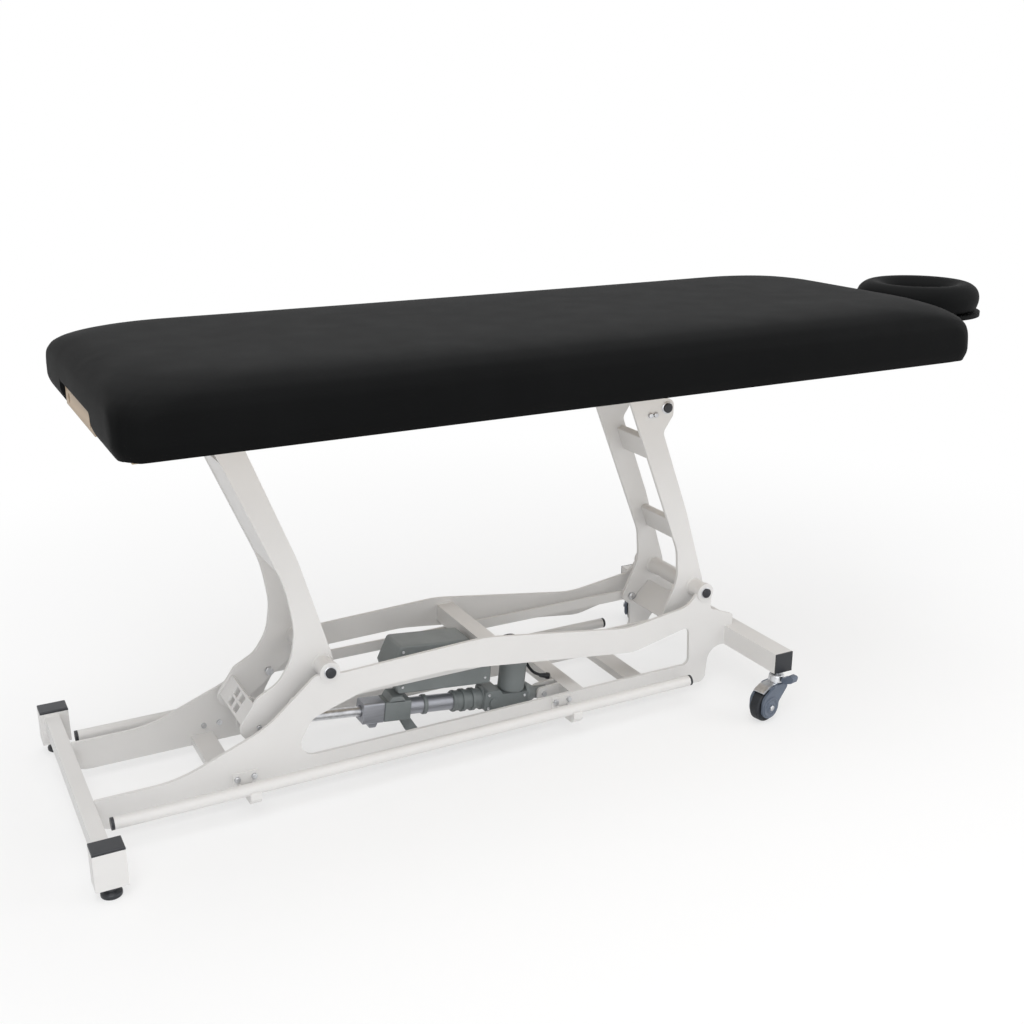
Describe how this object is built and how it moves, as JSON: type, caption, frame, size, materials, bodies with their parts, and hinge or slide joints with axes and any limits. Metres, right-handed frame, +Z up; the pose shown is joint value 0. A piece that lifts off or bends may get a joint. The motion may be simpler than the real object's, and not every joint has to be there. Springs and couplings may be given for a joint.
{
  "type": "electric massage table",
  "caption": "Powered height-adjustable massage table: padded top with a tilting face cradle on parallel swinging legs, a linear actuator, foot treadle bars, casters and glides.",
  "frame": {"origin": "on the floor under the middle of the table's overall box", "axes": "+X from the foot end to the face cradle, +Y from the near side to the far side, +Z up"},
  "size_m": [2.37, 0.76, 0.945],
  "materials": {
    "white_paint": "white powder coat, satin",
    "black_plastic": "moulded, matte",
    "bright_steel": "zinc plated",
    "silver_tube": "anodised",
    "housing_grey": "moulded, fine grain",
    "caster_grey": "moulded, satin",
    "wheel_tread": "smooth",
    "black_lead": "smooth sheath",
    "black_vinyl": "upholstery vinyl, fine grain",
    "plywood": "sealed",
    "beech": "clear lacquer"
  },
  "bodies": {
    "base": {"side_frame_near": "white_paint", "side_frame_far": "white_paint", "foot_crossbar": "white_paint", "foot_post_near": "white_paint", "foot_post_far": "white_paint", "head_crossbar": "white_paint", "upper_cross_tube": "white_paint", "low_cross_bars": "white_paint", "frame_caps": "black_plastic", "pivot_shafts": "bright_steel", "foot_bar_brackets": "white_paint", "frame_fasteners": "bright_steel", "actuator_mount": "white_paint", "control_box": "housing_grey", "motor_lead": "black_lead", "caster_stems": "bright_steel"},
    "glide_near": {"glide_near": "black_plastic"},
    "glide_far": {"glide_far": "black_plastic"},
    "caster_near": {"caster_near_head": "bright_steel", "caster_near_covers": "caster_grey"},
    "caster_near_wheel": {"caster_near_wheel": "wheel_tread"},
    "caster_near_pedal": {"caster_near_pedal": "caster_grey"},
    "caster_far": {"caster_far_head": "bright_steel", "caster_far_covers": "caster_grey"},
    "caster_far_wheel": {"caster_far_wheel": "wheel_tread"},
    "caster_far_pedal": {"caster_far_pedal": "caster_grey"},
    "foot_bar_near": {"foot_bar_near": "white_paint", "foot_bar_near_plugs": "black_plastic"},
    "foot_bar_far": {"foot_bar_far": "white_paint", "foot_bar_far_plugs": "black_plastic"},
    "foot_leg": {"foot_leg_near": "white_paint", "foot_leg_far": "white_paint", "foot_leg_hub": "white_paint", "foot_leg_bolts": "bright_steel", "foot_leg_web": "white_paint", "crank_yoke": "white_paint"},
    "head_leg": {"head_leg_near": "white_paint", "head_leg_far": "white_paint", "head_leg_hub": "white_paint", "head_leg_bolts": "bright_steel", "head_leg_rungs": "white_paint", "head_leg_caps": "black_plastic"},
    "tie_near": {"tie_bar_near": "white_paint"},
    "tie_far": {"tie_bar_far": "white_paint"},
    "actuator": {"actuator_tube": "silver_tube", "actuator_guide": "housing_grey", "actuator_housing": "housing_grey", "actuator_motor": "housing_grey"},
    "rod": {"actuator_rod": "bright_steel", "actuator_rod_eye": "bright_steel"},
    "top": {"top_cushion": "black_vinyl", "deck": "plywood", "end_rails": "beech", "top_underframe": "white_paint", "top_pivot_shafts": "bright_steel"},
    "cradle_slide": {"cradle_carriage": "bright_steel"},
    "cradle_head": {"cradle_plate": "black_plastic", "cradle_cushion": "black_vinyl"}
  },
  "joints": [
    {"name": "lift", "type": "hinge", "parent": "base", "child": "foot_leg", "pos_m": [-0.66, 0, 0.2645], "axis": [0, -1, 0], "range_deg": [0, 54]},
    {"name": "head_leg_swing", "type": "hinge", "parent": "base", "child": "head_leg", "pos_m": [0.284, 0, 0.2645], "axis": [0, -1, 0], "range_deg": [0, 54]},
    {"name": "top_level", "type": "hinge", "parent": "foot_leg", "child": "top", "pos_m": [-0.83, 0, 0.7545], "axis": [0, -1, 0], "range_deg": [-54, 0]},
    {"name": "tie_near_swing", "type": "hinge", "parent": "foot_leg", "child": "tie_near", "pos_m": [-0.726, -0.095, 0.1925], "axis": [0, -1, 0], "range_deg": [-54, 0]},
    {"name": "tie_far_swing", "type": "hinge", "parent": "foot_leg", "child": "tie_far", "pos_m": [-0.726, 0.095, 0.1925], "axis": [0, -1, 0], "range_deg": [-54, 0]},
    {"name": "actuator_tilt", "type": "hinge", "parent": "base", "child": "actuator", "pos_m": [-0.118, -0.055, 0.062], "axis": [0, -1, 0], "range_deg": [0, 6.75]},
    {"name": "actuator_stroke", "type": "slide", "parent": "actuator", "child": "rod", "axis": [-0.9924, 0, 0.1227], "range_m": [-0.1565, 0]},
    {"name": "glide_near_height", "type": "slide", "parent": "base", "child": "glide_near", "axis": [0, 0, 1], "range_m": [-0.012, 0.003]},
    {"name": "glide_far_height", "type": "slide", "parent": "base", "child": "glide_far", "axis": [0, 0, 1], "range_m": [-0.012, 0.003]},
    {"name": "caster_near_swivel", "type": "hinge", "parent": "base", "child": "caster_near", "pos_m": [0.373, -0.308, 0.095], "axis": [0, 0, 1], "continuous": true},
    {"name": "caster_near_roll", "type": "hinge", "parent": "caster_near", "child": "caster_near_wheel", "pos_m": [0.3338, -0.31597, 0.0375], "axis": [-0.1994, 0.9799, 0], "continuous": true},
    {"name": "caster_near_brake", "type": "hinge", "parent": "caster_near", "child": "caster_near_pedal", "pos_m": [0.37838, -0.33446, 0.098], "axis": [0.9799, 0.1994, 0], "range_deg": [0, 15]},
    {"name": "caster_far_swivel", "type": "hinge", "parent": "base", "child": "caster_far", "pos_m": [0.373, 0.308, 0.095], "axis": [0, 0, 1], "continuous": true},
    {"name": "caster_far_roll", "type": "hinge", "parent": "caster_far", "child": "caster_far_wheel", "pos_m": [0.39702, 0.33999, 0.0375], "axis": [0.7997, -0.6004, 0], "continuous": true},
    {"name": "caster_far_brake", "type": "hinge", "parent": "caster_far", "child": "caster_far_pedal", "pos_m": [0.35141, 0.32421, 0.098], "axis": [-0.6004, -0.7997, 0], "range_deg": [0, 15]},
    {"name": "foot_bar_near_tip", "type": "hinge", "parent": "base", "child": "foot_bar_near", "pos_m": [-0.479, -0.147, 0.054], "axis": [1, 0, 0], "range_deg": [-4, 4], "stiffness_Nm_per_rad": 60},
    {"name": "foot_bar_far_tip", "type": "hinge", "parent": "base", "child": "foot_bar_far", "pos_m": [-0.479, 0.147, 0.054], "axis": [1, 0, 0], "range_deg": [-4, 4], "stiffness_Nm_per_rad": 60},
    {"name": "cradle_reach", "type": "slide", "parent": "top", "child": "cradle_slide", "axis": [1, 0, 0], "range_m": [0, 0.05]},
    {"name": "cradle_tilt", "type": "hinge", "parent": "cradle_slide", "child": "cradle_head", "pos_m": [0.888, 0, 0.85], "axis": [0, -1, 0], "range_deg": [-25, 20]}
  ],
  "couplings": [
    {"joint": "head_leg_swing", "follows": "lift", "ratio": 1},
    {"joint": "top_level", "follows": "lift", "ratio": -1},
    {"joint": "tie_near_swing", "follows": "lift", "ratio": -1},
    {"joint": "tie_far_swing", "follows": "lift", "ratio": -1},
    {"joint": "actuator_tilt", "follows": "lift", "ratio": 0.125},
    {"joint": "actuator_stroke", "follows": "lift", "m_per_rad": -0.16605}
  ]
}
